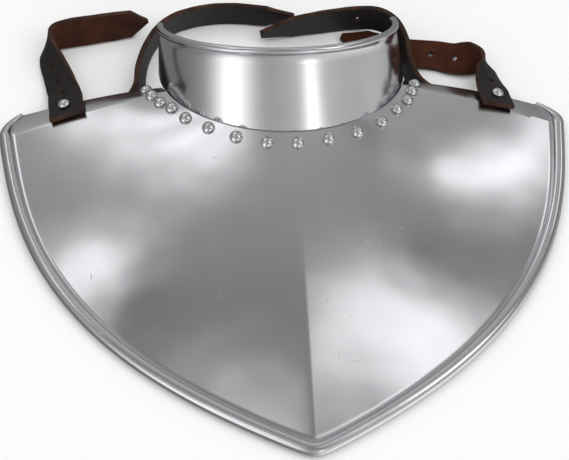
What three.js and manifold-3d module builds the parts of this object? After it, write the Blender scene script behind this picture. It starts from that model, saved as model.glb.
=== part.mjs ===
// A steel gorget: a heart-shaped breast plate with a rolled rim, a riveted neck collar,
// and four leather straps. It rests on its rolled rim with the plate's point towards -Y.
// Millimetres, +Z up. Lengths along the plate are measured from the middle of the neck.
import * as THREE from 'three';
import { mergeVertices } from 'three/addons/utils/BufferGeometryUtils.js';
import Module from 'manifold-3d';

const wasm = await Module();
wasm.setup();

// Stock
const SHEET = 1.3;
const LEATHER = 3;
const GAP = 0.3;

// Neck seat: the ring where collar and plate meet, a circle that falls towards the back
const NECK_RADIUS = 72;
const NECK_HEIGHT = 17.75;
const NECK_FALL = 23;

// Chest plate
const CREASE_AT_NECK = 70;
const CREASE_AT_RIM = 78;
// The heart's reach from the neck's middle, as powers of the angle from the point in radians
const HEART_REACH = [250.8, -124.4, 140, -125.9, 42.5];
const RIM_BEAD = 4;
const RIM_LAND = 1.3;
// The bead's lip, where the rolled edge ends beneath, in bead radii from the bead's middle
const RIM_LIP = { out: -0.85, up: -0.5 };
const EDGE_HEIGHT = 5;
const BULGE_RIDGE = 0.25;
const BULGE_SIDE = 0.5;
const KEEL = 4.5;
const POINT_ROUND = 0.02;

// Shoulder flange: the strip behind the crease, bent back and down
const FLANGE_SPAN = 0.1;
const FLANGE_NECK_TURN = 9;
const FLANGE_RIM_TURN = { left: 6.4, right: 5.4 };
const FLANGE_DROP_NECK = 7.5;
const FLANGE_DROP_RIM = 2.6;
// How much shorter the back corners are than the heart: evenly, and rounded off
const CORNER_DRAW = 3;
const CORNER_ROUND = 13;
// How much of its size the rim's bead has lost at the back edge
const BEAD_TAPER = 0.7;
const CREASE_SOFT = 0.25;

// Collar
const COLLAR_WRAP = 93;
const COLLAR_TOP_RADIUS = 69.3;
const COLLAR_TOP_SIDE = -2;
const COLLAR_TOP_BACK = 16.9;
const COLLAR_TOP_HEIGHT = 38.9;
const COLLAR_TOP_FALL = 38.6;
const COLLAR_BEAD = 2.2;
const COLLAR_FLANGE = 14;
const COLLAR_FLANGE_SPREAD = 1.06;
// How far the wall's straight part stops below the top edge, in bead radii
const COLLAR_BEAD_ROOT = 1.4;

// Rivets
const RIVET_HEAD = 3.7;
const RIVET_RISE = 2.9;
const RIVET_SHANK = 1.4;
const RIVET_TAIL = 2.3;
const RIVET_TAIL_RISE = 0.9;
const HEAD_GAP = 0.5;
const PUNCH_LENGTH = 24;
const PUNCH_SIDES = 8;

const rad = THREE.MathUtils.degToRad;
const vec = (x, y, z) => new THREE.Vector3(x, y, z);
const mix = THREE.MathUtils.lerp;

// Solids from rings of points, and the cuts made in them

// Joins rings of equal length into one closed solid; capFaces lists the end's triangles.
function solidFromRings(rings, capFaces) {
  const count = rings[0].length;
  const positions = rings.flat().flatMap((p) => [p.x, p.y, p.z]);
  const index = [];
  for (let i = 0; i + 1 < rings.length; i += 1) {
    for (let j = 0; j < count; j += 1) {
      const a = i * count + j;
      const b = i * count + ((j + 1) % count);
      index.push(a, b, b + count, a, b + count, a + count);
    }
  }
  const last = (rings.length - 1) * count;
  for (const [a, b, c] of capFaces) {
    index.push(a, c, b, last + a, last + b, last + c);
  }
  return facedOutward(new THREE.BufferGeometry()
    .setAttribute('position', new THREE.Float32BufferAttribute(positions, 3))
    .setIndex(index));
}

// Turns every face round if the solid was wound inside out.
function facedOutward(geometry) {
  const place = geometry.getAttribute('position');
  const index = geometry.getIndex();
  const [a, b, c] = [vec(), vec(), vec()];
  let volume = 0;
  for (let i = 0; i < index.count; i += 3) {
    a.fromBufferAttribute(place, index.getX(i));
    b.fromBufferAttribute(place, index.getX(i + 1));
    c.fromBufferAttribute(place, index.getX(i + 2));
    volume += a.dot(b.cross(c));
  }
  if (volume < 0) {
    for (let i = 0; i < index.count; i += 3) {
      const second = index.getX(i + 1);
      index.setX(i + 1, index.getX(i + 2));
      index.setX(i + 2, second);
    }
  }
  return geometry;
}

function toManifold(geometry) {
  const bare = geometry.clone();
  bare.deleteAttribute('normal');
  bare.deleteAttribute('uv');
  const merged = mergeVertices(bare, 1e-5);
  return new wasm.Manifold(new wasm.Mesh({
    numProp: 3,
    vertProperties: new Float32Array(merged.getAttribute('position').array),
    triVerts: new Uint32Array(merged.getIndex().array),
  }));
}

function fromManifold(solid) {
  const mesh = solid.getMesh();
  return new THREE.BufferGeometry()
    .setAttribute('position', new THREE.Float32BufferAttribute(mesh.vertProperties, 3))
    .setIndex(Array.from(mesh.triVerts));
}

// A round punch along an axis, for rivet and strap holes.
function punch(centre, axis, radius) {
  const geometry = new THREE.CylinderGeometry(radius, radius, PUNCH_LENGTH, PUNCH_SIDES);
  const turn = new THREE.Quaternion().setFromUnitVectors(vec(0, 1, 0), axis);
  return geometry.applyQuaternion(turn).translate(centre.x, centre.y, centre.z);
}

function cutHoles(geometry, punches) {
  let solid = toManifold(geometry);
  for (const tool of punches) {
    solid = solid.subtract(toManifold(tool));
  }
  return fromManifold(solid);
}

// The plate's surface. s runs across it: 0 on the ridge, 1 and -1 on the shoulder creases,
// and FLANGE_SPAN further at the back edges. t runs from the neck, 0, to the rim, 1.

// How far s lies across the flange, from the crease, 0, to the back edge, 1.
function flangeShare(s) {
  return Math.max(0, Math.abs(s) - 1) / FLANGE_SPAN;
}

// The flange's fall begins softly, so the crease is a rounded bend.
function flangeFall(s) {
  const share = flangeShare(s);
  const full = Math.hypot(1, CREASE_SOFT) - CREASE_SOFT;
  return (Math.hypot(share, CREASE_SOFT) - CREASE_SOFT) / full;
}

function neckAngle(s) {
  const turn = Math.min(Math.abs(s), 1) * CREASE_AT_NECK + flangeShare(s) * FLANGE_NECK_TURN;
  return rad(turn) * Math.sign(s);
}

// A point of the neck seat, at an angle from the front and a distance from its axis.
function seatPoint(angle, radius) {
  const forward = radius * Math.cos(angle);
  const fall = rad(NECK_FALL);
  return vec(radius * Math.sin(angle), -forward * Math.cos(fall), NECK_HEIGHT + forward * Math.sin(fall));
}

// The rim's outer edge seen from above: a heart, as a distance from the neck's middle.
function rimEdge(s) {
  const share = flangeShare(s);
  const turn = rad(Math.min(Math.abs(s), 1) * CREASE_AT_RIM);
  const soft = Math.hypot(turn, POINT_ROUND) - POINT_ROUND;
  const heart = HEART_REACH.reduce((sum, factor, power) => sum + factor * soft ** power, 0);
  const reach = heart - CORNER_DRAW * share - CORNER_ROUND * share ** 2;
  const corner = s < 0 ? FLANGE_RIM_TURN.left : FLANGE_RIM_TURN.right;
  const angle = (turn + rad(corner) * share) * Math.sign(s);
  return vec(reach * Math.sin(angle), -reach * Math.cos(angle), 0);
}

function rimOutward(s) {
  const step = 0.002;
  const along = rimEdge(s + step).sub(rimEdge(s - step));
  return vec(-along.y, along.x, 0).normalize().negate();
}

function beadRadius(s) {
  return RIM_BEAD * (1 - BEAD_TAPER * flangeFall(s));
}

function plateTop(s, t) {
  const neck = seatPoint(neckAngle(s), NECK_RADIUS + GAP);
  const inset = 2 * beadRadius(s) + GAP;
  const edge = rimEdge(s).addScaledVector(rimOutward(s), -inset);
  const across = Math.min(Math.abs(s), 1);
  const neckHeight = seatPoint(rad(CREASE_AT_NECK * across), NECK_RADIUS + GAP).z;
  const bulge = mix(BULGE_RIDGE, BULGE_SIDE, across);
  const keel = KEEL * (1 - across) ** 2 * 4 * t * (1 - t);
  const chest = EDGE_HEIGHT + (neckHeight - EDGE_HEIGHT) * (1 - t) * (1 + bulge * t) + keel;
  const drop = mix(FLANGE_DROP_NECK, FLANGE_DROP_RIM, t) * flangeFall(s);
  return vec(mix(neck.x, edge.x, t), mix(neck.y, edge.y, t), chest - drop);
}

function plateNormal(s, t) {
  const step = 0.004;
  const acrossEdge = plateTop(s + step, t).sub(plateTop(s - step, t));
  const down = plateTop(s, Math.min(t + step, 1)).sub(plateTop(s, Math.max(t - step, 0)));
  const normal = acrossEdge.cross(down).normalize();
  return normal.z < 0 ? normal.negate() : normal;
}

function plateLayer(s, t, depth) {
  return plateTop(s, t).addScaledVector(plateNormal(s, t), -depth);
}

// The s and t of the plate's top under a place seen from above.
function plateUnder(x, y) {
  let [s, t] = [Math.sign(x) * 0.5, 0.5];
  const step = 1e-3;
  for (let pass = 0; pass < 30; pass += 1) {
    const here = plateTop(s, t);
    const bySide = plateTop(s + step, t).sub(here).divideScalar(step);
    const byReach = plateTop(s, t + step).sub(here).divideScalar(step);
    const scale = bySide.x * byReach.y - bySide.y * byReach.x;
    const [missX, missY] = [x - here.x, y - here.y];
    s += (missX * byReach.y - missY * byReach.x) / scale;
    t += (bySide.x * missY - bySide.y * missX) / scale;
  }
  return { s, t };
}

// Columns across the plate, closer together on the flanges.
const PLATE_COLUMNS = [];
const HALF_COLUMNS = 18;
const FLANGE_COLUMNS = 4;
for (let i = -HALF_COLUMNS; i <= HALF_COLUMNS; i += 1) {
  PLATE_COLUMNS.push(i / HALF_COLUMNS);
}
for (let i = 1; i <= FLANGE_COLUMNS; i += 1) {
  const s = 1 + (FLANGE_SPAN * i) / FLANGE_COLUMNS;
  PLATE_COLUMNS.push(s);
  PLATE_COLUMNS.unshift(-s);
}

const PLATE_ROWS = 9;
const BEAD_TURNS = [150, 120, 90, 60, 30, 0, -35];

// One slice of the plate from neck to rim: its top, round the rolled bead, and back beneath.
function plateRing(s) {
  const top = [];
  const under = [];
  for (let row = 0; row <= PLATE_ROWS; row += 1) {
    const t = row / PLATE_ROWS;
    top.push(plateTop(s, t));
    under.unshift(plateLayer(s, t, SHEET));
  }
  const radius = beadRadius(s);
  const outward = rimOutward(s);
  const middle = rimEdge(s).addScaledVector(outward, -radius).setZ(radius);
  const onBead = (out, up) => middle.clone().addScaledVector(outward, out).add(vec(0, 0, up));
  const bead = BEAD_TURNS.map((turn) => onBead(radius * Math.cos(rad(turn)), radius * Math.sin(rad(turn))));
  const land = RIM_LAND * (radius / RIM_BEAD);
  bead.push(onBead(land, -radius), onBead(-land, -radius), onBead(RIM_LIP.out * radius, RIM_LIP.up * radius));
  return [...top, ...bead, ...under];
}

function plateCap() {
  const faces = [];
  const total = 2 * (PLATE_ROWS + 1) + BEAD_TURNS.length + 3;
  for (let row = 0; row < PLATE_ROWS; row += 1) {
    const below = total - 1 - row;
    faces.push([row, row + 1, below - 1], [row, below - 1, below]);
  }
  const root = PLATE_ROWS;
  for (let k = root + 1; k < root + BEAD_TURNS.length + 4; k += 1) {
    faces.push([root, k, k + 1]);
  }
  return faces;
}

function chestPlate(punches) {
  return cutHoles(solidFromRings(PLATE_COLUMNS.map(plateRing), plateCap()), punches);
}

// Collar: an open band whose lower edge is turned out under the plate, with a rolled top

function collarTop(angle) {
  const forward = COLLAR_TOP_RADIUS * Math.cos(angle);
  const fall = rad(COLLAR_TOP_FALL);
  return vec(
    COLLAR_TOP_SIDE + COLLAR_TOP_RADIUS * Math.sin(angle),
    COLLAR_TOP_BACK - forward * Math.cos(fall),
    COLLAR_TOP_HEIGHT + forward * Math.sin(fall),
  );
}

function collarRing(angle) {
  const foot = seatPoint(angle, NECK_RADIUS).add(vec(0, 0, -SHEET - GAP));
  const head = collarTop(angle);
  const up = head.clone().sub(foot).normalize();
  const round = seatPoint(angle + 0.01, NECK_RADIUS).sub(seatPoint(angle - 0.01, NECK_RADIUS)).normalize();
  const out = round.clone().cross(up).normalize();
  const at = (base, side, rise) => base.clone().addScaledVector(out, side).addScaledVector(up, rise);
  const bead = [-60, -25, 10, 45, 80, 115, 150].map((turn) => at(
    head,
    COLLAR_BEAD * Math.cos(rad(turn)) - SHEET / 2,
    COLLAR_BEAD * Math.sin(rad(turn)),
  ));
  return [
    at(foot, 0, 0),
    at(foot.clone().lerp(head, 0.5), 0, 0),
    at(head, 0, -COLLAR_BEAD * COLLAR_BEAD_ROOT),
    ...bead,
    at(head, -SHEET, -COLLAR_BEAD * COLLAR_BEAD_ROOT),
    at(foot.clone().lerp(head, 0.5), -SHEET, 0),
    at(foot, -SHEET, 0),
  ];
}

function collarCap() {
  const faces = [];
  faces.push([0, 1, 11], [0, 11, 12], [1, 2, 10], [1, 10, 11]);
  for (let k = 3; k < 10; k += 1) {
    faces.push([2, k, k + 1]);
  }
  return faces;
}

// The turned-out lower edge follows the plate's underside as far as the plate's back edges.
function collarFlangeRing(s) {
  const neck = plateTop(s, 0);
  const length = plateTop(s, 1).sub(neck).length();
  const points = [];
  for (const depth of [SHEET + GAP, 2 * SHEET + GAP]) {
    const row = [0, 0.5, 1].map((share) => plateLayer(s, (COLLAR_FLANGE * share) / length, depth));
    const intoWall = row[0].clone().sub(row[1]).setLength(GAP + SHEET * 0.6);
    const root = row[0].clone().add(intoWall);
    const line = [root, ...row];
    points.push(...(depth > SHEET + GAP ? line.reverse() : line));
  }
  return points;
}

function neckCollar(punches) {
  const wallRings = [];
  const wallColumns = 34;
  for (let i = 0; i <= wallColumns; i += 1) {
    wallRings.push(collarRing(rad(mix(-COLLAR_WRAP, COLLAR_WRAP, i / wallColumns))));
  }
  const wall = solidFromRings(wallRings, collarCap());
  const flangeRings = [];
  const flangeColumns = 28;
  for (let i = 0; i <= flangeColumns; i += 1) {
    const s = mix(-COLLAR_FLANGE_SPREAD, COLLAR_FLANGE_SPREAD, i / flangeColumns);
    flangeRings.push(collarFlangeRing(s));
  }
  const flangeCap = [[0, 1, 7], [1, 6, 7], [1, 2, 6], [2, 5, 6], [2, 3, 5], [3, 4, 5]];
  const flange = solidFromRings(flangeRings, flangeCap);
  return cutHoles(fromManifold(toManifold(wall).add(toManifold(flange))), punches);
}

// Rivets: a domed head on top, a shank through the layers, and a small clenched tail

function rivetGeometry(grip) {
  const sides = 10;
  const profile = [new THREE.Vector2(0, -grip - RIVET_TAIL_RISE)];
  profile.push(new THREE.Vector2(RIVET_TAIL * 0.7, -grip - RIVET_TAIL_RISE));
  profile.push(new THREE.Vector2(RIVET_TAIL, -grip));
  profile.push(new THREE.Vector2(RIVET_SHANK, -grip));
  profile.push(new THREE.Vector2(RIVET_SHANK, 0));
  for (const turn of [0, 30, 60]) {
    profile.push(new THREE.Vector2(RIVET_HEAD * Math.cos(rad(turn)), RIVET_RISE * Math.sin(rad(turn))));
  }
  profile.push(new THREE.Vector2(0, RIVET_RISE));
  return new THREE.LatheGeometry(profile, sides);
}

// Straps: flat leather ribbons. Each row is a place on the middle line; lean turns the
// width from level, 0, to upright, 90; the width narrows at a pointed end.

function ribbonFrames(rows, steps) {
  const places = rows.map((row) => vec(row.x, row.y, row.z));
  const line = new THREE.CatmullRomCurve3(places, false, 'catmullrom', 0.5);
  const frames = [];
  for (let i = 0; i <= steps; i += 1) {
    const share = i / steps;
    const place = share * (rows.length - 1);
    const row = Math.min(Math.floor(place), rows.length - 2);
    const part = place - row;
    const lean = rad(mix(rows[row].lean, rows[row + 1].lean, part));
    const along = line.getTangent(share);
    const level = vec(0, 0, 1).cross(along).normalize();
    const rise = along.clone().cross(level);
    const side = level.multiplyScalar(Math.cos(lean)).addScaledVector(rise, Math.sin(lean));
    frames.push({
      middle: line.getPoint(share),
      side,
      face: along.clone().cross(side),
      width: mix(rows[row].width, rows[row + 1].width, part),
    });
  }
  return frames;
}

function ribbon(rows, steps) {
  const rings = ribbonFrames(rows, steps).map(({ middle, side, face, width }) => {
    const corner = (a, b) => middle.clone()
      .addScaledVector(side, (a * width) / 2)
      .addScaledVector(face, (b * LEATHER) / 2);
    return [corner(-1, -1), corner(1, -1), corner(1, 1), corner(-1, 1)];
  });
  return solidFromRings(rings, [[0, 1, 2], [0, 2, 3]]);
}

// A strap hole: at a share of the strap's rows, on its middle line.
function strapHole(rows, row, radius) {
  const stepsPerRow = 10;
  const { middle, face } = ribbonFrames(rows, (rows.length - 1) * stepsPerRow)[Math.round(row * stepsPerRow)];
  return punch(middle, face, radius);
}

// Rivet places round the neck, left to right: the angle from the front and the distance
// of each from the collar.
const NECK_RIVETS = [
  { angle: -77, reach: 10 },
  { angle: -70.5, reach: 9.5 },
  { angle: -64.5, reach: 8 },
  { angle: -58.5, reach: 5.5 },
  { angle: -49, reach: 6 },
  { angle: -37, reach: 5.5 },
  { angle: -24, reach: 6.5 },
  { angle: -11, reach: 7.5 },
  { angle: 1.5, reach: 7.5 },
  { angle: 14.5, reach: 7 },
  { angle: 27.5, reach: 7.5 },
  { angle: 40.5, reach: 7.5 },
  { angle: 52, reach: 6.5 },
  { angle: 60.5, reach: 7.5 },
  { angle: 67.5, reach: 7 },
  { angle: 74.5, reach: 7 },
];

const SHOULDER_STRAP_LEFT = [
  { x: -126.5, y: -30, z: 18.4, lean: -19, width: 21 },
  { x: -126.5, y: -22, z: 15, lean: -19, width: 21 },
  { x: -127, y: -13.5, z: 12.8, lean: -20.5, width: 21 },
  { x: -128.2, y: -5.5, z: 10.5, lean: -32, width: 20 },
  { x: -130, y: 2.5, z: 9.4, lean: -42, width: 20 },
  { x: -132.5, y: 11, z: 9.5, lean: -52, width: 20 },
  { x: -135.3, y: 20, z: 10, lean: -62, width: 20 },
  { x: -136.2, y: 27.5, z: 10.5, lean: -76, width: 20 },
  { x: -132, y: 34, z: 10.5, lean: -98, width: 20 },
  { x: -122, y: 37, z: 10.4, lean: -107, width: 20 },
  { x: -108, y: 39.2, z: 10.4, lean: -106, width: 20 },
  { x: -95, y: 41.3, z: 10.4, lean: -104, width: 20 },
  { x: -86, y: 42.8, z: 10.4, lean: -103, width: 19 },
  { x: -76, y: 44.8, z: 10.4, lean: -103, width: 2 },
];

const SHOULDER_STRAP_RIGHT = [
  { x: 125.5, y: -31.5, z: 19, lean: 18, width: 20 },
  { x: 124.8, y: -23.5, z: 16.1, lean: 18, width: 20 },
  { x: 124.4, y: -15.5, z: 13.4, lean: 20, width: 20 },
  { x: 124.2, y: -7.5, z: 10.8, lean: 33, width: 20 },
  { x: 124, y: -0.5, z: 9.4, lean: 47, width: 20 },
  { x: 123.4, y: 5, z: 9.6, lean: 60, width: 20 },
  { x: 120.2, y: 9.2, z: 10.4, lean: 88, width: 20 },
  { x: 114, y: 11.2, z: 8.6, lean: 134, width: 20 },
  { x: 105.5, y: 14, z: 4.9, lean: 162, width: 20 },
  { x: 95, y: 18.4, z: 2.9, lean: 174, width: 20 },
  { x: 82, y: 20.6, z: 2.3, lean: 177, width: 20 },
  { x: 68, y: 24.2, z: 2.1, lean: 178, width: 20 },
  { x: 53, y: 29.6, z: 2.1, lean: 178, width: 19 },
  { x: 40, y: 35.5, z: 2, lean: 178, width: 4 },
];

const NECK_STRAP_LEFT = [
  { x: -134, y: -23, z: 6.2, lean: -27, width: 13 },
  { x: -126.5, y: -23, z: 8, lean: -27, width: 13 },
  { x: -114, y: -21.5, z: 10.4, lean: -27, width: 14 },
  { x: -103, y: -21.5, z: 11.8, lean: -25, width: 14 },
  { x: -94, y: -20.5, z: 11.6, lean: -8, width: 15 },
  { x: -86.2, y: -16.5, z: 9.3, lean: 32, width: 16 },
  { x: -83.2, y: -7.5, z: 9, lean: 68, width: 17 },
  { x: -82.2, y: 6, z: 9, lean: 77, width: 17 },
  { x: -78.5, y: 20, z: 9, lean: 84, width: 17 },
  { x: -71.8, y: 33, z: 9, lean: 87, width: 17 },
  { x: -62.5, y: 42, z: 9, lean: 88, width: 17 },
  { x: -51, y: 47, z: 9, lean: 88, width: 17 },
  { x: -37, y: 49.6, z: 9, lean: 88, width: 17 },
  { x: -22, y: 49.6, z: 9, lean: 88, width: 17 },
  { x: -5, y: 47.2, z: 9, lean: 88, width: 16 },
  { x: 12, y: 46, z: 9, lean: 88, width: 4 },
];

const NECK_STRAP_RIGHT = [
  { x: 132, y: -25, z: 7, lean: 27, width: 13 },
  { x: 124.5, y: -25, z: 9, lean: 27, width: 13 },
  { x: 113, y: -23.5, z: 10.8, lean: 27, width: 13 },
  { x: 103, y: -23.5, z: 12, lean: 25, width: 14 },
  { x: 94, y: -22.5, z: 11.8, lean: 8, width: 15 },
  { x: 86, y: -18.5, z: 9.8, lean: -34, width: 16 },
  { x: 80, y: -9.5, z: 10, lean: -76, width: 17 },
  { x: 76.2, y: 3, z: 13, lean: -86, width: 18 },
  { x: 75.4, y: 17, z: 14.3, lean: -87, width: 18 },
  { x: 70.5, y: 31.5, z: 14.5, lean: -87, width: 18 },
  { x: 60.5, y: 40.5, z: 12.3, lean: -84, width: 18 },
  { x: 45, y: 43, z: 9.8, lean: -84, width: 18 },
  { x: 28, y: 41, z: 9.7, lean: -86, width: 18 },
  { x: 10, y: 38, z: 9.5, lean: -90, width: 17 },
  { x: -9, y: 35.5, z: 6, lean: -92, width: 5 },
];

const group = new THREE.Group();

function add(name, geometry, look) {
  geometry.computeVertexNormals();
  const mesh = new THREE.Mesh(geometry, new THREE.MeshStandardMaterial(look));
  mesh.name = name;
  group.add(mesh);
  return mesh;
}

const STEEL = { color: 0xb9bcc0, roughness: 0.28, metalness: 1 };
const RIVET_STEEL = { color: 0xd3d5d8, roughness: 0.16, metalness: 1 };
const DARK_LEATHER = { color: 0x241c19, roughness: 0.6, metalness: 0 };

// Rivets through the plate and the collar's turned-out edge
const neckGrip = 2 * SHEET + GAP + 4 * HEAD_GAP;
const neckRivets = NECK_RIVETS.map(({ angle, reach }) => {
  const turn = Math.abs(angle) <= CREASE_AT_NECK
    ? angle / CREASE_AT_NECK
    : Math.sign(angle) * (1 + (FLANGE_SPAN * (Math.abs(angle) - CREASE_AT_NECK)) / FLANGE_NECK_TURN);
  const length = plateTop(turn, 1).sub(plateTop(turn, 0)).length();
  const t = reach / length;
  return { foot: plateTop(turn, t), axis: plateNormal(turn, t) };
});
const neckPunches = neckRivets.map(({ foot, axis }) => punch(foot, axis, RIVET_SHANK + GAP));

// Rivets through each shoulder strap, the plate's flange and the end of the neck strap
const shoulderRivets = [-1, 1].map((side) => {
  const rows = side < 0 ? SHOULDER_STRAP_LEFT : SHOULDER_STRAP_RIGHT;
  const { s, t } = plateUnder(rows[1].x, rows[1].y);
  return { side, foot: plateTop(s, t), axis: plateNormal(s, t) };
});
const shoulderPunches = shoulderRivets.map(({ foot, axis }) => punch(foot, axis, RIVET_SHANK + GAP));

add('chest_plate', chestPlate([...neckPunches, ...shoulderPunches]), STEEL);
add('neck_collar', neckCollar(neckPunches), STEEL);
neckRivets.forEach(({ foot, axis }, i) => {
  const name = `collar_rivet_${String(i + 1).padStart(2, '0')}`;
  const rivet = add(name, rivetGeometry(neckGrip), RIVET_STEEL);
  rivet.quaternion.setFromUnitVectors(vec(0, 1, 0), axis);
  rivet.position.copy(foot).addScaledVector(axis, HEAD_GAP);
});

const STRAP_HOLE = 1.7;
const strapSets = [
  { name: 'shoulder_strap_left', rows: SHOULDER_STRAP_LEFT, holes: [2.6, 3.9, 5.3] },
  { name: 'shoulder_strap_right', rows: SHOULDER_STRAP_RIGHT, holes: [2.8, 7.9, 9.2] },
  { name: 'neck_strap_left', rows: NECK_STRAP_LEFT, holes: [] },
  { name: 'neck_strap_right', rows: NECK_STRAP_RIGHT, holes: [10.7] },
];
for (const { name, rows, holes } of strapSets) {
  const steps = (rows.length - 3) * 3;
  const cuts = holes.map((row) => strapHole(rows, row, STRAP_HOLE));
  const fixing = shoulderPunches[rows[0].x < 0 ? 0 : 1];
  add(name, cutHoles(ribbon(rows, steps), [...cuts, fixing]), DARK_LEATHER);
}

const shoulderGrip = 2 * LEATHER + SHEET + 12 * GAP;
for (const { side, foot, axis } of shoulderRivets) {
  const name = `shoulder_rivet_${side < 0 ? 'left' : 'right'}`;
  const rivet = add(name, rivetGeometry(shoulderGrip), RIVET_STEEL);
  rivet.quaternion.setFromUnitVectors(vec(0, 1, 0), axis);
  rivet.position.copy(foot).addScaledVector(axis, LEATHER + 5 * GAP);
}

// The origin is the middle of the whole object's base.
const bounds = new THREE.Box3().setFromObject(group, true);
const middle = bounds.getCenter(vec());
group.position.set(-middle.x, -middle.y, -bounds.min.z);

export default group;
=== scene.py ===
import math

import bpy
from mathutils import Matrix, Vector, noise


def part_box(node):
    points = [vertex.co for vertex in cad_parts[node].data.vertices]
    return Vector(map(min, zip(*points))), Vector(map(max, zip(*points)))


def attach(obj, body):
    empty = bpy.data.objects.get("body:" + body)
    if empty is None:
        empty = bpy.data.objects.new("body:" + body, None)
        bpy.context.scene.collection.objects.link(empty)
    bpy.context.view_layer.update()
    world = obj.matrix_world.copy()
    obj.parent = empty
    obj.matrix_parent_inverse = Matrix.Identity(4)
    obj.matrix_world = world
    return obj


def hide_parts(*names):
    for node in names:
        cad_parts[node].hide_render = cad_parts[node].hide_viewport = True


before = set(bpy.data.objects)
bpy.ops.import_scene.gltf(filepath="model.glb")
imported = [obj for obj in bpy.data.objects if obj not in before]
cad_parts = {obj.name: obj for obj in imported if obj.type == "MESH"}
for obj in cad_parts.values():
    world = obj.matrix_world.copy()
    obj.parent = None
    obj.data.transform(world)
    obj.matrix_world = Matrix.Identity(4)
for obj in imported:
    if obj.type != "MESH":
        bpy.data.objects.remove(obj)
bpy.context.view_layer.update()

# The photographer's stand: the camera looks down on the gorget from in front of its point,
# from a long way off through a long lens, and is held a few degrees off level.
MM = 0.001
HEART_POINT = 250.8
neck_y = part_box("chest_plate")[0][1] / MM + HEART_POINT

CAMERA_TURN = math.radians(-9.54)
CAMERA_HEIGHT = math.radians(55.91)
CAMERA_ROLL = math.radians(6)
CAMERA_DISTANCE = 1400
CAMERA_AIM = Vector((-5.06, neck_y - 101.9, 0))
SENSOR_MM = 36
PHOTO_WIDTH_PX = 569
FOCAL_LENGTH_PX = 2453.08
FARTHEST = 20

back = Vector((
    math.sin(CAMERA_TURN) * math.cos(CAMERA_HEIGHT),
    -math.cos(CAMERA_TURN) * math.cos(CAMERA_HEIGHT),
    math.sin(CAMERA_HEIGHT),
))
level = Vector((math.cos(CAMERA_TURN), math.sin(CAMERA_TURN), 0))
upward = back.cross(level)
sideways = math.cos(CAMERA_ROLL) * level + math.sin(CAMERA_ROLL) * upward
headways = -math.sin(CAMERA_ROLL) * level + math.cos(CAMERA_ROLL) * upward
camera_data = bpy.data.cameras.new("camera")
camera_data.lens = SENSOR_MM * FOCAL_LENGTH_PX / PHOTO_WIDTH_PX
camera_data.sensor_width = SENSOR_MM
camera_data.clip_end = FARTHEST
camera = bpy.data.objects.new("camera", camera_data)
bpy.context.scene.collection.objects.link(camera)
stand = Matrix((sideways, headways, back)).transposed().to_4x4()
stand.translation = (CAMERA_AIM + back * CAMERA_DISTANCE) * MM
camera.matrix_world = stand
bpy.context.scene.camera = camera
bpy.context.scene.view_settings.view_transform = "Standard"

# The studio: a dim grey room with soft lights round the table, which the steel shows as
# broad pale patches, and dark screens between them. The table is whitened by a wide lamp
# overhead, and neither the lamp nor the table is mirrored in the steel.
ROOM_GREY = 0.19
SOFT_LIGHTS = [
    # turn from straight behind (+ to the right), height and spread in degrees, and light
    (-136, 38, 3.7, 2.50),
    (-134, 5, 12, 1.44),
    (-125, 68, 4.6, 0.75),
    (-119, 23, 25, 0.34),
    (-73, 53, 4.1, 2.41),
    (-32, 57, 3.5, 1.53),
    (-30, 46, 3.8, 1.66),
    (-26, 32, 3.4, 2.04),
    (0, 38, 26, 0.46),
    (54, 32, 3.4, 1.98),
    (54, 41, 3.4, 1.78),
    (86, 63, 3.4, 1.56),
    (92, 55, 3.4, 2.15),
    (102, 73, 5.9, 0.72),
    (106, 41, 6.3, 3.16),
    (118, -41, 25, 1.16),
    (155, 16, 4.8, 1.80),
    (157, 13, 25, 0.47),
]
DARK_SCREENS = [
    # the same, with how much of the light each one takes away
    (-81, 54, 4.0, 0.44),
    (-80, 58, 3.4, 0.54),
    (-17, 35, 5.0, 0.4),
    (-11, 53, 5.9, 0.37),
    (46, 43, 3.4, 0.53),
    (81, 55, 4.3, 0.44),
    (-95, 70, 8, 0.08),
]
DARKEST = 0.04
FILL_HEIGHT = 3
FILL_SIZE = 5
FILL_WATTS = 84


class Value:
    """A number that varies from place to place. Sums of values add the nodes they need."""

    def __init__(self, shading, socket):
        self.shading = shading
        self.socket = socket

    def _sum(self, operation, *terms):
        return self.shading.node("ShaderNodeMath", {"operation": operation}, dict(enumerate(terms)))

    def __add__(self, other):
        return self._sum("ADD", self, other)

    def __mul__(self, other):
        return self._sum("MULTIPLY", self, other)

    def __sub__(self, other):
        return self._sum("SUBTRACT", self, other)

    def exp(self):
        return self._sum("EXPONENT", self)

    def above(self, level, width):
        """0 below the level, 1 above it, turning over the width."""
        settings = {"interpolation_type": "SMOOTHSTEP"}
        inputs = {"Value": self, "From Min": level - width / 2, "From Max": level + width / 2}
        return self.shading.node("ShaderNodeMapRange", settings, inputs)

    __radd__ = __add__
    __rmul__ = __mul__


class Shading:
    """A tree of nodes, each added by its type, its settings and its sockets' values or links."""

    def __init__(self, tree):
        self.tree = tree

    def node(self, kind, settings=None, inputs=None, output=0):
        made = self.tree.nodes.new(kind)
        for key, value in (settings or {}).items():
            setattr(made, key, value)
        for key, value in (inputs or {}).items():
            self.feed(made.inputs[key], value)
        return Value(self, made.outputs[output])

    def feed(self, socket, value):
        if isinstance(value, Value):
            self.tree.links.new(value.socket, socket)
        else:
            socket.default_value = value


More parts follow.
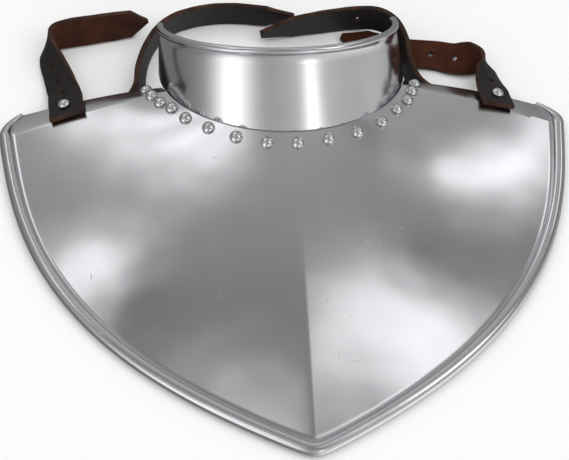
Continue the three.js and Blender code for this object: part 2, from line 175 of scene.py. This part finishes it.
room = bpy.data.worlds.new("room")
room.use_nodes = True
bpy.context.scene.world = room
room_shading = Shading(room.node_tree)
look = room_shading.node("ShaderNodeTexCoord", output="Generated")
room_light = ROOM_GREY
screens_as_lights = [(turn, height, spread, -taken) for turn, height, spread, taken in DARK_SCREENS]
for *angles, light in SOFT_LIGHTS + screens_as_lights:
    turn, height, spread = (math.radians(angle) for angle in angles)
    level_reach = math.cos(height)
    towards = (math.sin(turn) * level_reach, math.cos(turn) * level_reach, math.sin(height))
    dot_inputs = {0: look, 1: towards}
    nearness = room_shading.node("ShaderNodeVectorMath", {"operation": "DOT_PRODUCT"}, dot_inputs, "Value")
    room_light = room_light + light * ((nearness - 1) * (1 / spread ** 2)).exp()
darkest_inputs = {0: room_light, 1: DARKEST}
room_light = room_shading.node("ShaderNodeMath", {"operation": "MAXIMUM"}, darkest_inputs)
room_shading.feed(room.node_tree.nodes["Background"].inputs["Color"], room_light)

fill_lamp = bpy.data.lights.new("fill_lamp", "AREA")
fill_lamp.size = FILL_SIZE
fill_lamp.energy = FILL_WATTS
fill = bpy.data.objects.new("fill_lamp", fill_lamp)
fill.location = (0, 0, FILL_HEIGHT)
fill.visible_glossy = False
bpy.context.scene.collection.objects.link(fill)

# The table: a plain white sheet of painted board, flat and matt, which the gorget's rolled
# rim lies on.
TABLE_WHITE = (0.93, 0.93, 0.93, 1)
TABLE_HALF = 6

table_mesh = bpy.data.meshes.new("table")
table_mesh.from_pydata(
    [(x * TABLE_HALF, y * TABLE_HALF, 0) for x, y in ((-1, -1), (1, -1), (1, 1), (-1, 1))],
    [],
    [(0, 1, 2, 3)],
)
table = bpy.data.objects.new("table", table_mesh)
bpy.context.scene.collection.objects.link(table)
table_paint = bpy.data.materials.new("table_white")
table_paint.use_nodes = True
table_surface = table_paint.node_tree.nodes["Principled BSDF"]
table_surface.inputs["Base Color"].default_value = TABLE_WHITE
table_surface.inputs["Roughness"].default_value = 0.9
table_surface.inputs["Specular IOR Level"].default_value = 0.1
table_mesh.materials.append(table_paint)
table.visible_glossy = False

# The chest plate: one sheet of mild steel, raised into a heart with a ridge down its middle.
# Its rim is rolled outward round a wire, and a strip along each shoulder is bent back and
# down. It is sanded to a satin finish, and handling has left fine scratches.
SHEET = 1.3
GAP = 0.3
NECK_RADIUS = 72
NECK_HEIGHT = 17.75
NECK_FALL = math.radians(23)
CREASE_AT_NECK = math.radians(70)
CREASE_AT_RIM = math.radians(78)
HEART_REACH = (HEART_POINT, -124.4, 140, -125.9, 42.5)
RIM_BEAD = 4
RIM_LAND = 1.3
RIM_LIP_OUT = 0.85
RIM_LIP_UP = 0.5
EDGE_HEIGHT = 5
BULGE_RIDGE = 0.25
BULGE_SIDE = 0.5
KEEL = 4.5
POINT_ROUND = 0.02
FLANGE_SPAN = 0.1
FLANGE_NECK_TURN = math.radians(9)
FLANGE_RIM_TURN = {-1: math.radians(6.4), 1: math.radians(5.4)}
FLANGE_DROP_NECK = 7.5
FLANGE_DROP_RIM = 2.6
CORNER_DRAW = 3
CORNER_ROUND = 13
BEAD_TAPER = 0.7
CREASE_SOFT = 0.25
PLATE_COLUMNS = 96
FLANGE_COLUMNS = 14
PLATE_ROWS = 56
FOLD_ANGLE = math.radians(38)


def mix(low, high, share):
    return low + (high - low) * share


def flange_share(s):
    return max(0, abs(s) - 1) / FLANGE_SPAN


def flange_fall(s):
    full = math.hypot(1, CREASE_SOFT) - CREASE_SOFT
    return (math.hypot(flange_share(s), CREASE_SOFT) - CREASE_SOFT) / full


def seat_point(angle, radius):
    forward = radius * math.cos(angle)
    return Vector((
        radius * math.sin(angle),
        -forward * math.cos(NECK_FALL),
        NECK_HEIGHT + forward * math.sin(NECK_FALL),
    ))


def rim_edge(s):
    """The rim's outer edge seen from above, across the plate from s = -1.1 to 1.1."""
    share = flange_share(s)
    turn = min(abs(s), 1) * CREASE_AT_RIM
    soft = math.hypot(turn, POINT_ROUND) - POINT_ROUND
    heart = sum(factor * soft ** power for power, factor in enumerate(HEART_REACH))
    reach = heart - CORNER_DRAW * share - CORNER_ROUND * share ** 2
    side = -1 if s < 0 else 1
    angle = (turn + FLANGE_RIM_TURN[side] * share) * side
    return Vector((reach * math.sin(angle), -reach * math.cos(angle), 0))


def rim_outward(s):
    step = 0.002
    along = rim_edge(s + step) - rim_edge(s - step)
    return Vector((along.y, -along.x, 0)).normalized()


def bead_radius(s):
    return RIM_BEAD * (1 - BEAD_TAPER * flange_fall(s))


def plate_top(s, t):
    """The plate's top surface, from the neck, t = 0, to the rim, t = 1."""
    side = -1 if s < 0 else 1
    across = min(abs(s), 1)
    neck_angle = (across * CREASE_AT_NECK + flange_share(s) * FLANGE_NECK_TURN) * side
    neck = seat_point(neck_angle, NECK_RADIUS + GAP)
    edge = rim_edge(s) - rim_outward(s) * (2 * bead_radius(s) + GAP)
    neck_height = seat_point(CREASE_AT_NECK * across, NECK_RADIUS + GAP).z
    bulge = mix(BULGE_RIDGE, BULGE_SIDE, across)
    keel = KEEL * (1 - across) ** 2 * 4 * t * (1 - t)
    chest = EDGE_HEIGHT + (neck_height - EDGE_HEIGHT) * (1 - t) * (1 + bulge * t) + keel
    drop = mix(FLANGE_DROP_NECK, FLANGE_DROP_RIM, t) * flange_fall(s)
    return Vector((mix(neck.x, edge.x, t), mix(neck.y, edge.y, t), chest - drop))


def plate_normal(s, t):
    step = 0.004
    across = plate_top(s + step, t) - plate_top(s - step, t)
    down = plate_top(s, min(t + step, 1)) - plate_top(s, max(t - step, 0))
    normal = across.cross(down).normalized()
    return -normal if normal.z < 0 else normal


def plate_ring(s):
    """One slice of the plate: its top from neck to rim, round the rolled rim, and back."""
    top = []
    under = []
    for row in range(PLATE_ROWS + 1):
        t = row / PLATE_ROWS
        place = plate_top(s, t)
        top.append(place)
        under.insert(0, place - plate_normal(s, t) * SHEET)
    radius = bead_radius(s)
    outward = rim_outward(s)
    middle = rim_edge(s) - outward * radius + Vector((0, 0, radius))
    bead = []
    for degrees in range(165, -70, -15):
        turn = math.radians(degrees)
        bead.append(middle + outward * radius * math.cos(turn) + Vector((0, 0, radius * math.sin(turn))))
    land = RIM_LAND * radius / RIM_BEAD
    for out, up in ((land, -radius), (-land, -radius), (-radius * RIM_LIP_OUT, -radius * RIM_LIP_UP)):
        bead.append(middle + outward * out + Vector((0, 0, up)))
    return top + bead + under


def metres(place):
    """A place in the scene, from one in millimetres from the middle of the neck."""
    return (place + Vector((0, neck_y, 0))) * MM


def solid(name, rings, finishes, slots=None):
    """A mesh through rings of points, closed by a face at each end."""
    count = len(rings[0])
    faces = []
    picks = []
    for i in range(len(rings) - 1):
        here = i * count
        there = here + count
        for j in range(count):
            k = (j + 1) % count
            faces.append((here + j, here + k, there + k, there + j))
            picks.append(slots[j] if slots else 0)
    last = (len(rings) - 1) * count
    faces.append(tuple(range(count))[::-1])
    faces.append(tuple(range(last, last + count)))
    picks += [max(picks)] * 2
    mesh = bpy.data.meshes.new(name)
    mesh.from_pydata([metres(p) for ring in rings for p in ring], [], faces)
    mesh.polygons.foreach_set("material_index", picks)
    turn_faces_out(mesh)
    mesh.shade_smooth()
    mesh.set_sharp_from_angle(angle=FOLD_ANGLE)
    piece = bpy.data.objects.new(name, mesh)
    bpy.context.scene.collection.objects.link(piece)
    for finish in finishes:
        mesh.materials.append(finish)
    return piece


def turn_faces_out(mesh):
    volume = 0
    for face in mesh.polygons:
        corner = mesh.vertices[face.vertices[0]].co
        volume += face.normal.dot(corner) * face.area
    if volume < 0:
        mesh.flip_normals()


# The places of the colour sockets on Blender's Mix node
MIX_COLOUR_LOW = 6
MIX_COLOUR_HIGH = 7
MIX_COLOUR_OUT = 2


class Finish(Shading):
    """A material whose nodes are added by expressions on Values."""

    def __init__(self, name, **settings):
        self.material = bpy.data.materials.new(name)
        self.material.use_nodes = True
        super().__init__(self.material.node_tree)
        self.surface = self.tree.nodes["Principled BSDF"]
        for socket, value in settings.items():
            self.surface.inputs[socket.replace("_", " ")].default_value = value

    def place(self, stretch=(1, 1, 1), turn=(0, 0, 0)):
        """Where the surface is, in metres, with each direction stretched."""
        spot = self.node("ShaderNodeTexCoord", output="Object")
        inputs = {"Vector": spot, "Scale": stretch, "Rotation": turn}
        return self.node("ShaderNodeMapping", inputs=inputs)

    def cloud(self, place, scale, detail=3, roughness=0.5):
        inputs = {"Vector": place, "Scale": scale, "Detail": detail, "Roughness": roughness}
        return self.node("ShaderNodeTexNoise", None, inputs)

    def colour(self, low, high, share):
        """A colour between two others."""
        settings = {"data_type": "RGBA", "clamp_factor": True}
        inputs = {"Factor": share, MIX_COLOUR_LOW: low, MIX_COLOUR_HIGH: high}
        return self.node("ShaderNodeMix", settings, inputs, MIX_COLOUR_OUT)

    def bump(self, height, distance, strength=1.0, under=None):
        inputs = {"Height": height, "Distance": distance, "Strength": strength}
        if under is not None:
            inputs["Normal"] = under
        return self.node("ShaderNodeBump", None, inputs)

    def set(self, **values):
        for socket, value in values.items():
            self.feed(self.surface.inputs[socket.replace("_", " ")], value)


plate_steel = Finish("plate_steel", Metallic=1.0)
hammered = plate_steel.cloud(plate_steel.place(), 22, detail=1)
patches = plate_steel.cloud(plate_steel.place(), 34, detail=4)
sanding = plate_steel.cloud(plate_steel.place(stretch=(1, 0.06, 1)), 1900, detail=2)
across_grain = plate_steel.place(stretch=(0.05, 1, 1), turn=(0, 0, 0.5))
cross_sanding = plate_steel.cloud(across_grain, 1500, detail=2)
scuff_place = plate_steel.place(stretch=(1, 0.02, 1), turn=(0, 0, -0.6))
scuffs = plate_steel.cloud(scuff_place, 700, detail=0).above(0.84, 0.05)
nick_place = plate_steel.place(stretch=(0.02, 1, 1), turn=(0, 0, 0.9))
nicks = plate_steel.cloud(nick_place, 600, detail=0).above(0.84, 0.05)
scratches = (scuffs + nicks) * patches.above(0.52, 0.1)
plate_steel.set(
    Base_Color=plate_steel.colour((0.61, 0.62, 0.64, 1), (0.69, 0.69, 0.705, 1), patches * 0.7),
    Roughness=0.155 + patches * 0.06 + sanding * 0.03 + scratches * 0.08,
    Normal=plate_steel.bump(
        sanding * 0.6 + cross_sanding * 0.4 - scratches * 0.6,
        0.00001,
        under=plate_steel.bump(hammered, 0.0008),
    ),
)

columns = [i / PLATE_COLUMNS for i in range(-PLATE_COLUMNS, PLATE_COLUMNS + 1)]
flange_columns = [1 + FLANGE_SPAN * i / FLANGE_COLUMNS for i in range(1, FLANGE_COLUMNS + 1)]
columns = [-s for s in reversed(flange_columns)] + columns + flange_columns
chest_plate = solid("plate", [plate_ring(s) for s in columns], [plate_steel.material])
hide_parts("chest_plate")
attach(chest_plate, "root")

# The neck collar: a band of the same sheet, its top edge rolled outward and its lower edge
# turned out under the plate, where the rivets hold it. It is brushed round the neck.
COLLAR_WRAP = math.radians(93)
COLLAR_TOP_RADIUS = 69.3
COLLAR_TOP_SIDE = -2
COLLAR_TOP_BACK = 16.9
COLLAR_TOP_HEIGHT = 38.9
COLLAR_TOP_FALL = math.radians(38.6)
COLLAR_BEAD = 2.2
COLLAR_BEAD_ROOT = 1.4
COLLAR_FLANGE = 14
COLLAR_FLANGE_SPREAD = 1.06
COLLAR_COLUMNS = 120


def collar_top(angle):
    forward = COLLAR_TOP_RADIUS * math.cos(angle)
    return Vector((
        COLLAR_TOP_SIDE + COLLAR_TOP_RADIUS * math.sin(angle),
        COLLAR_TOP_BACK - forward * math.cos(COLLAR_TOP_FALL),
        COLLAR_TOP_HEIGHT + forward * math.sin(COLLAR_TOP_FALL),
    ))


def collar_ring(angle):
    foot = seat_point(angle, NECK_RADIUS) - Vector((0, 0, SHEET + GAP))
    head = collar_top(angle)
    up = (head - foot).normalized()
    round_neck = (seat_point(angle + 0.01, NECK_RADIUS) - seat_point(angle - 0.01, NECK_RADIUS)).normalized()
    out = round_neck.cross(up).normalized()
    outside = [foot.lerp(head, share / 6) for share in range(6)]
    outside.append(head - up * COLLAR_BEAD * COLLAR_BEAD_ROOT)
    bead = []
    for degrees in range(-60, 160, 15):
        turn = math.radians(degrees)
        overhang = COLLAR_BEAD * math.cos(turn) - SHEET / 2
        bead.append(head + out * overhang + up * COLLAR_BEAD * math.sin(turn))
    inside = [p - out * SHEET for p in reversed(outside)]
    return outside + bead + inside


def collar_flange_ring(s):
    neck = plate_top(s, 0)
    length = (plate_top(s, 1) - neck).length
    points = []
    for depth in (SHEET + GAP, 2 * SHEET + GAP):
        row = []
        for share in (0, 0.25, 0.5, 0.75, 1):
            t = COLLAR_FLANGE * share / length
            row.append(plate_top(s, t) - plate_normal(s, t) * depth)
        root = row[0] + (row[0] - row[1]).normalized() * (GAP + SHEET * 0.6)
        line = [root] + row
        points += line[::-1] if depth > SHEET + GAP else line
    return points


collar_steel = Finish("collar_steel", Metallic=1.0)
collar_patches = collar_steel.cloud(collar_steel.place(), 40, detail=3)
collar_brushing = collar_steel.cloud(collar_steel.place(stretch=(0.05, 0.05, 1)), 1700, detail=2)
collar_steel.set(
    Base_Color=collar_steel.colour((0.62, 0.63, 0.65, 1), (0.74, 0.74, 0.75, 1), collar_patches),
    Roughness=0.12 + collar_patches * 0.06 + collar_brushing * 0.05,
    Normal=collar_steel.bump(collar_brushing, 0.00001),
)
collar_shares = [i / COLLAR_COLUMNS for i in range(COLLAR_COLUMNS + 1)]
wall_rings = [collar_ring(mix(-COLLAR_WRAP, COLLAR_WRAP, share)) for share in collar_shares]
neck_collar = solid("collar", wall_rings, [collar_steel.material])
turned_edge_rings = [
    collar_flange_ring(mix(-COLLAR_FLANGE_SPREAD, COLLAR_FLANGE_SPREAD, share)) for share in collar_shares
]
turned_edge = solid("collar_edge", turned_edge_rings, [collar_steel.material])
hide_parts("neck_collar")
for piece in (neck_collar, turned_edge):
    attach(piece, "root")

# The collar's rivets: round-headed steel rivets through the plate and the collar's turned
# edge, clenched beneath. Their heads are polished bright.
RIVET_HEAD = 3.7
RIVET_RISE = 2.9
RIVET_TAIL = 2.3
RIVET_TAIL_RISE = 0.9
RIVET_SEAT = 0.5
RIVET_SIDES = 28
RIVET_FOLD_ANGLE = math.radians(50)
NECK_GRIP = 2 * SHEET + GAP + 4 * RIVET_SEAT
NECK_RIVETS = [
    # angle from the front in degrees, and distance from the collar
    (-77, 10), (-70.5, 9.5), (-64.5, 8), (-58.5, 5.5), (-49, 6), (-37, 5.5), (-24, 6.5), (-11, 7.5),
    (1.5, 7.5), (14.5, 7), (27.5, 7.5), (40.5, 7.5), (52, 6.5), (60.5, 7.5), (67.5, 7), (74.5, 7),
]


def rivets(name, places, grip, finish):
    """Domed heads and flat tails; each place is the seat of a head and the way it points."""
    points = []
    faces = []
    sides = RIVET_SIDES
    foot_rise = -RIVET_SEAT
    head = [(RIVET_HEAD - 0.35, foot_rise + 0.1), (RIVET_HEAD - 0.05, foot_rise + 0.3), (RIVET_HEAD, 0)]
    for degrees in range(12, 90, 12):
        turn = math.radians(degrees)
        head.append((RIVET_HEAD * math.cos(turn), RIVET_RISE * math.sin(turn)))
    head.append((0.25, RIVET_RISE))
    tail = [
        (RIVET_TAIL * 0.5, -grip - RIVET_TAIL_RISE),
        (RIVET_TAIL * 0.85, -grip - RIVET_TAIL_RISE * 0.8),
        (RIVET_TAIL, -grip - RIVET_TAIL_RISE * 0.35),
        (RIVET_TAIL * 0.95, -grip),
        (0.3, -grip),
    ]
    for foot, axis in places:
        across = axis.orthogonal().normalized()
        along = axis.cross(across)
        for profile in (head, tail):
            first = len(points)
            for radius, rise in profile:
                for k in range(sides):
                    turn = 2 * math.pi * k / sides
                    spoke = across * math.cos(turn) + along * math.sin(turn)
                    points.append(foot + axis * rise + spoke * radius)
            for i in range(len(profile) - 1):
                for k in range(sides):
                    a = first + i * sides + k
                    b = first + i * sides + (k + 1) % sides
                    faces.append((a, b, b + sides, a + sides))
            last = first + (len(profile) - 1) * sides
            faces.append(tuple(range(first + sides - 1, first - 1, -1)))
            faces.append(tuple(range(last, last + sides)))
    mesh = bpy.data.meshes.new(name)
    mesh.from_pydata([metres(p) for p in points], [], faces)
    turn_faces_out(mesh)
    mesh.shade_smooth()
    mesh.set_sharp_from_angle(angle=RIVET_FOLD_ANGLE)
    mesh.materials.append(finish)
    piece = bpy.data.objects.new(name, mesh)
    bpy.context.scene.collection.objects.link(piece)
    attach(piece, "root")
    return piece


rivet_steel = Finish("rivet_steel", Metallic=1.0)
rivet_patches = rivet_steel.cloud(rivet_steel.place(), 300, detail=2)
rivet_steel.set(
    Base_Color=rivet_steel.colour((0.66, 0.67, 0.68, 1), (0.82, 0.82, 0.83, 1), rivet_patches),
    Roughness=0.12 + rivet_patches * 0.08,
    Normal=rivet_steel.bump(rivet_patches, 0.00006),
)
neck_rivet_places = []
for degrees, reach in NECK_RIVETS:
    angle = math.radians(degrees)
    beyond = max(0, abs(angle) - CREASE_AT_NECK)
    s = min(abs(angle) / CREASE_AT_NECK, 1) + FLANGE_SPAN * beyond / FLANGE_NECK_TURN
    s = math.copysign(s, angle)
    t = reach / (plate_top(s, 1) - plate_top(s, 0)).length
    axis = plate_normal(s, t)
    neck_rivet_places.append((plate_top(s, t) + axis * RIVET_SEAT, axis))
collar_rivets = rivets("collar_rivets", neck_rivet_places, NECK_GRIP, rivet_steel.material)
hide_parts(*[f"collar_rivet_{i + 1:02d}" for i in range(len(NECK_RIVETS))])

# The neck straps: bands of thick vegetable-tanned leather, dyed black on the grain side and
# left red-brown on the flesh side. One end of each is riveted under a shoulder flange, and
# the free ends meet behind the neck, standing on their edges.
LEATHER = 3
NECK_STRAP_LEFT = [
    # x, y, z of the middle, lean of the width in degrees, width
    (-134, -23, 6.2, -27, 13), (-126.5, -23, 8, -27, 13), (-114, -21.5, 10.4, -27, 14),
    (-103, -21.5, 11.8, -25, 14), (-94, -20.5, 11.6, -8, 15), (-86.2, -16.5, 9.3, 32, 16),
    (-83.2, -7.5, 9, 68, 17), (-82.2, 6, 9, 77, 17), (-78.5, 20, 9, 84, 17), (-71.8, 33, 9, 87, 17),
    (-62.5, 42, 9, 88, 17), (-51, 47, 9, 88, 17), (-37, 49.6, 9, 88, 17), (-22, 49.6, 9, 88, 17),
    (-5, 47.2, 9, 88, 16), (12, 46, 9, 88, 4),
]
NECK_STRAP_RIGHT = [
    (132, -25, 7, 27, 13), (124.5, -25, 9, 27, 13), (113, -23.5, 10.8, 27, 13), (103, -23.5, 12, 25, 14),
    (94, -22.5, 11.8, 8, 15), (86, -18.5, 9.8, -34, 16), (80, -9.5, 10, -76, 17), (76.2, 3, 13, -86, 18),
    (75.4, 17, 14.3, -87, 18), (70.5, 31.5, 14.5, -87, 18), (60.5, 40.5, 12.3, -84, 18),
    (45, 43, 9.8, -84, 18), (28, 41, 9.7, -86, 18), (10, 38, 9.5, -90, 17), (-9, 35.5, 6, -92, 5),
]
STRAP_HOLE = 1.7
STEPS_PER_ROW = 12
STRAP_FACES = 16
EDGE_ROUNDING = 0.55
WOBBLE = 0.25
RAGGED_ROWS = 5
GRAIN, FLESH, CUT_EDGE = range(3)


def smooth_row(rows, place):
    """A row between others, on a smooth curve through all of them."""
    i = min(int(place), len(rows) - 2)
    part = place - i
    here, there = rows[i], rows[i + 1]
    before = rows[i - 1] if i > 0 else [2 * a - b for a, b in zip(here, there)]
    after = rows[i + 2] if i + 2 < len(rows) else [2 * b - a for a, b in zip(here, there)]
    values = []
    for p0, p1, p2, p3 in zip(before, here, there, after):
        v0, v1 = (p2 - p0) / 2, (p3 - p1) / 2
        a = 2 * p1 - 2 * p2 + v0 + v1
        b = -3 * p1 + 3 * p2 - 2 * v0 - v1
        values.append(((a * part + b) * part + v0) * part + p1)
    values[4] = mix(here[4], there[4], part)
    return values


def strap_frame(rows, place):
    x, y, z, lean, width = smooth_row(rows, place)
    ahead = Vector(smooth_row(rows, min(place + 0.02, len(rows) - 1))[:3])
    behind = Vector(smooth_row(rows, max(place - 0.02, 0))[:3])
    along = (ahead - behind).normalized()
    flat = Vector((0, 0, 1)).cross(along).normalized()
    rise = along.cross(flat)
    side = flat * math.cos(math.radians(lean)) + rise * math.sin(math.radians(lean))
    return Vector((x, y, z)), side, along.cross(side), width


def rounded_edge(middle, side, face, tip, shoulder):
    """The cut edge of one slice: its outermost point between two points nearer the faces."""
    rise = face * LEATHER / 2 * 0.75
    return [middle + side * shoulder + rise, middle + side * tip, middle + side * shoulder - rise]


def strap(name, rows, holes, raggedness=0):
    """A leather strap: grain side, flesh side and cut edges each have their own finish."""
    shares = [i / STRAP_FACES for i in range(STRAP_FACES + 1)]
    half = LEATHER / 2
    rings = []
    count = (len(rows) - 1) * STEPS_PER_ROW
    for i in range(count + 1):
        place = i / STEPS_PER_ROW
        middle, side, face, width = strap_frame(rows, place)
        ends = []
        for hand in (-1, 1):
            wobble = noise.noise(Vector((place * 1.7, hand * 5, len(rows)))) * WOBBLE
            if raggedness and hand * rows[0][3] < 0 and place < RAGGED_ROWS:
                wobble += noise.noise(Vector((place * 9, hand, 3))) * raggedness
            ends.append(width / 2 + wobble)
        low, high = -ends[0], ends[1]
        inset = min(EDGE_ROUNDING, (high - low) * 0.3)
        grain = [middle + side * mix(low + inset, high - inset, share) + face * half for share in shares]
        flesh = [middle + side * mix(high - inset, low + inset, share) - face * half for share in shares]
        right_edge = rounded_edge(middle, side, face, high, high - inset * 0.25)
        left_edge = rounded_edge(middle, side, -face, low, low + inset * 0.25)
        rings.append(grain + right_edge + flesh + left_edge)
    slots = [GRAIN] * STRAP_FACES + [CUT_EDGE] * 4 + [FLESH] * STRAP_FACES + [CUT_EDGE] * 4
    piece = solid(name, rings, [strap_grain.material, strap_flesh.material, strap_edge.material], slots)
    for hole in holes:
        middle, _, face, _ = strap_frame(rows, hole)
        bpy.ops.mesh.primitive_cylinder_add(vertices=24, radius=STRAP_HOLE * MM, depth=3 * LEATHER * MM)
        cutter = bpy.context.object
        cutter.rotation_mode = "QUATERNION"
        cutter.rotation_quaternion = face.to_track_quat("Z", "Y")
        cutter.location = metres(middle)
        cutter.data.materials.append(strap_edge.material)
        cut = piece.modifiers.new("hole", "BOOLEAN")
        cut.operation = "DIFFERENCE"
        cut.solver = "EXACT"
        cut.object = cutter
        bpy.context.view_layer.update()
        evaluated = piece.evaluated_get(bpy.context.evaluated_depsgraph_get())
        punched = bpy.data.meshes.new_from_object(evaluated)
        piece.modifiers.clear()
        piece.data = punched
        bpy.data.objects.remove(cutter)
    piece.data.set_sharp_from_angle(angle=FOLD_ANGLE)
    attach(piece, "root")
    return piece


strap_grain = Finish("strap_grain", Specular_IOR_Level=0.22)
pores = strap_grain.cloud(strap_grain.place(), 1500, detail=3)
creases = strap_grain.cloud(strap_grain.place(), 260, detail=4, roughness=0.65)
strap_grain.set(
    Base_Color=strap_grain.colour((0.004, 0.0035, 0.004, 1), (0.026, 0.020, 0.020, 1), creases),
    Roughness=0.40 + creases * 0.22,
    Normal=strap_grain.bump(pores * 0.5 + creases, 0.00035),
)
strap_flesh = Finish("strap_flesh", Specular_IOR_Level=0.3)
nap = strap_flesh.cloud(strap_flesh.place(), 2200, detail=4, roughness=0.7)
blotches = strap_flesh.cloud(strap_flesh.place(), 90, detail=4)
flesh_tint = blotches.above(0.5, 0.6) * 0.6 + nap * 0.4
strap_flesh.set(
    Base_Color=strap_flesh.colour((0.020, 0.006, 0.003, 1), (0.092, 0.026, 0.010, 1), flesh_tint),
    Roughness=0.75 + nap * 0.2,
    Normal=strap_flesh.bump(nap, 0.0005),
)
strap_edge = Finish("strap_edge")
fibres = strap_edge.cloud(strap_edge.place(), 1200, detail=4, roughness=0.7)
edge_dye = strap_edge.cloud(strap_edge.place(), 150, detail=3)
edge_tint = edge_dye.above(0.52, 0.4) * 0.7 + fibres * 0.3
strap_edge.set(
    Base_Color=strap_edge.colour((0.006, 0.004, 0.003, 1), (0.070, 0.024, 0.011, 1), edge_tint),
    Roughness=0.6 + fibres * 0.3,
    Normal=strap_edge.bump(fibres, 0.0005),
)
NECK_HOLES_RIGHT = [10.7]
NECK_RAGGEDNESS = 1.2
neck_strap_left = strap("neck_strap_l", NECK_STRAP_LEFT, [], NECK_RAGGEDNESS)
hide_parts("neck_strap_left")
neck_strap_right = strap("neck_strap_r", NECK_STRAP_RIGHT, NECK_HOLES_RIGHT, NECK_RAGGEDNESS)
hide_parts("neck_strap_right")

# The shoulder straps: wider bands of the same leather, riveted on top of the flanges with
# the grain outward. The left one stands on its edge, and the right one turns over flat.
SHOULDER_STRAP_LEFT = [
    (-126.5, -30, 18.4, -19, 21), (-126.5, -22, 15, -19, 21), (-127, -13.5, 12.8, -20.5, 21),
    (-128.2, -5.5, 10.5, -32, 20), (-130, 2.5, 9.4, -42, 20), (-132.5, 11, 9.5, -52, 20),
    (-135.3, 20, 10, -62, 20), (-136.2, 27.5, 10.5, -76, 20), (-132, 34, 10.5, -98, 20),
    (-122, 37, 10.4, -107, 20), (-108, 39.2, 10.4, -106, 20), (-95, 41.3, 10.4, -104, 20),
    (-86, 42.8, 10.4, -103, 19), (-76, 44.8, 10.4, -103, 2),
]
SHOULDER_STRAP_RIGHT = [
    (125.5, -31.5, 19, 18, 20), (124.8, -23.5, 16.1, 18, 20), (124.4, -15.5, 13.4, 20, 20),
    (124.2, -7.5, 10.8, 33, 20), (124, -0.5, 9.4, 47, 20), (123.4, 5, 9.6, 60, 20),
    (120.2, 9.2, 10.4, 88, 20), (114, 11.2, 8.6, 134, 20), (105.5, 14, 4.9, 162, 20),
    (95, 18.4, 2.9, 174, 20), (82, 20.6, 2.3, 177, 20), (68, 24.2, 2.1, 178, 20),
    (53, 29.6, 2.1, 178, 19), (40, 35.5, 2, 178, 4),
]
SHOULDER_HOLES_LEFT = [2.6, 3.9, 5.3]
SHOULDER_HOLES_RIGHT = [2.8, 7.9, 9.2]
shoulder_strap_left = strap("shoulder_strap_l", SHOULDER_STRAP_LEFT, SHOULDER_HOLES_LEFT)
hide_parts("shoulder_strap_left")
shoulder_strap_right = strap("shoulder_strap_r", SHOULDER_STRAP_RIGHT, SHOULDER_HOLES_RIGHT)
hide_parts("shoulder_strap_right")

# The shoulder rivets: one through each shoulder strap, the flange and the end of the neck
# strap beneath, of the same kind as the collar's.
SHOULDER_GRIP = 2 * LEATHER + SHEET + 12 * GAP


def plate_under(x, y):
    """The s and t of the plate's top under a place seen from above."""
    s, t = math.copysign(0.5, x), 0.5
    step = 1e-3
    for _ in range(30):
        here = plate_top(s, t)
        by_side = (plate_top(s + step, t) - here) / step
        by_reach = (plate_top(s, t + step) - here) / step
        scale = by_side.x * by_reach.y - by_side.y * by_reach.x
        miss_x, miss_y = x - here.x, y - here.y
        s += (miss_x * by_reach.y - miss_y * by_reach.x) / scale
        t += (by_side.x * miss_y - by_side.y * miss_x) / scale
    return s, t


for side, rows in (("left", SHOULDER_STRAP_LEFT), ("right", SHOULDER_STRAP_RIGHT)):
    s, t = plate_under(rows[1][0], rows[1][1])
    axis = plate_normal(s, t)
    seat = plate_top(s, t) + axis * (LEATHER + 5 * GAP)
    shoulder_rivet = rivets(f"strap_rivet_{side}", [(seat, axis)], SHOULDER_GRIP, rivet_steel.material)
    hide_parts(f"shoulder_rivet_{side}")
